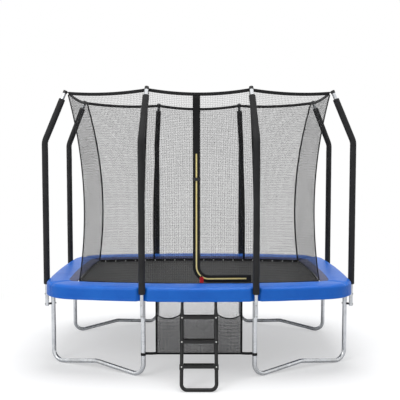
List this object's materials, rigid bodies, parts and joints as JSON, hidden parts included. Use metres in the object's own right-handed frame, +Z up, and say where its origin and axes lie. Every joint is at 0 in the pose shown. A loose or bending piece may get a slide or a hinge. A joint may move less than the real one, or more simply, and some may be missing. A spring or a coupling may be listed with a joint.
{
  "type": "trampoline",
  "caption": "Rectangular garden trampoline with bowed sides, padded frame, safety net on sleeved poles, zip door, ladder and shoe bag.",
  "frame": {"origin": "on the ground, in the middle of the box that the whole trampoline fills", "axes": "+X along the long side to the right of the door, +Y from the door side to the rear, +Z up"},
  "size_m": [3.0134, 2.4737, 2.6404],
  "materials": {
    "galvanised_steel": "satin galvanised tube",
    "foam_sleeve": "matte fabric over foam",
    "black_plastic": "moulded, satin",
    "zinc_bolt": "dark zinc",
    "mat_fabric": "tight woven polypropylene",
    "blue_pad": "coated fabric over foam, soft gloss",
    "net_mesh": "knotless mesh",
    "black_webbing": "woven webbing",
    "zip_tape": "yellow zip with black tape",
    "zip_metal": "satin black",
    "red_ribbon": "woven ribbon",
    "ladder_black": "powder coated",
    "white_plastic": "moulded"
  },
  "bodies": {
    "frame": {"rail_front": "galvanised_steel", "rail_rear": "galvanised_steel", "rail_left": "galvanised_steel", "rail_right": "galvanised_steel", "corner_rail_front_left": "galvanised_steel", "corner_rail_front_right": "galvanised_steel", "corner_rail_rear_left": "galvanised_steel", "corner_rail_rear_right": "galvanised_steel", "leg_front_left": "galvanised_steel", "leg_front_right": "galvanised_steel", "leg_rear_left": "galvanised_steel", "leg_rear_right": "galvanised_steel", "pole_front_left": "galvanised_steel", "pole_front_right": "galvanised_steel", "pole_rear_left": "galvanised_steel", "pole_rear_right": "galvanised_steel", "pole_side_front_left": "galvanised_steel", "pole_side_front_right": "galvanised_steel", "pole_side_rear_left": "galvanised_steel", "pole_side_rear_right": "galvanised_steel", "sleeve_front_left": "foam_sleeve", "sleeve_front_right": "foam_sleeve", "sleeve_rear_left": "foam_sleeve", "sleeve_rear_right": "foam_sleeve", "sleeve_side_front_left": "foam_sleeve", "sleeve_side_front_right": "foam_sleeve", "sleeve_side_rear_left": "foam_sleeve", "sleeve_side_rear_right": "foam_sleeve", "pole_caps": "black_plastic", "pole_spacers": "black_plastic", "buckle_body": "black_plastic", "pole_bolts": "zinc_bolt", "springs": "galvanised_steel", "pad_front": "blue_pad", "pad_rear": "blue_pad", "pad_left": "blue_pad", "pad_right": "blue_pad", "net_front": "net_mesh", "net_rear": "net_mesh", "net_left": "net_mesh", "net_right": "net_mesh", "net_front_left": "net_mesh", "net_front_right": "net_mesh", "net_rear_left": "net_mesh", "net_rear_right": "net_mesh", "net_band": "black_webbing", "net_hem": "black_webbing", "net_seams": "black_webbing", "door_webbing": "black_webbing", "zip_chain": "zip_tape", "shoe_bag": "net_mesh", "shoe_pockets": "net_mesh"},
    "mat_unit": {"mat": "mat_fabric", "v_rings": "galvanised_steel"},
    "ladder": {"ladder_frame": "ladder_black", "ladder_steps": "ladder_black", "ladder_screws": "white_plastic"},
    "zip_slider": {"zip_slider": "zip_metal"},
    "zip_pull": {"zip_pull": "red_ribbon"},
    "buckle_clip": {"buckle_clip": "black_plastic"}
  },
  "joints": [
    {"name": "mat_bounce", "type": "slide", "parent": "frame", "child": "mat_unit", "axis": [0, 0, 1], "range_m": [-0.15, 0], "stiffness_N_per_m": 6000, "springref_m": 0.03, "deforming": ["springs"]},
    {"name": "ladder_swing", "type": "hinge", "parent": "frame", "child": "ladder", "pos_m": [0, -0.86695, 0.775], "axis": [-1, 0, 0], "range_deg": [0, 6]},
    {"name": "zip_run", "type": "hinge", "parent": "frame", "child": "zip_slider", "pos_m": [0.094, -0.59523, 0.97248], "axis": [0, 0.9974, -0.0722], "range_deg": [0, 45]},
    {"name": "pull_flip", "type": "hinge", "parent": "zip_slider", "child": "zip_pull", "pos_m": [0.02464, -0.60742, 0.8774], "axis": [-1, 0, 0], "range_deg": [0, 90]},
    {"name": "buckle_release", "type": "slide", "parent": "frame", "child": "buckle_clip", "axis": [1, 0, 0], "range_m": [0, 0.025]}
  ]
}
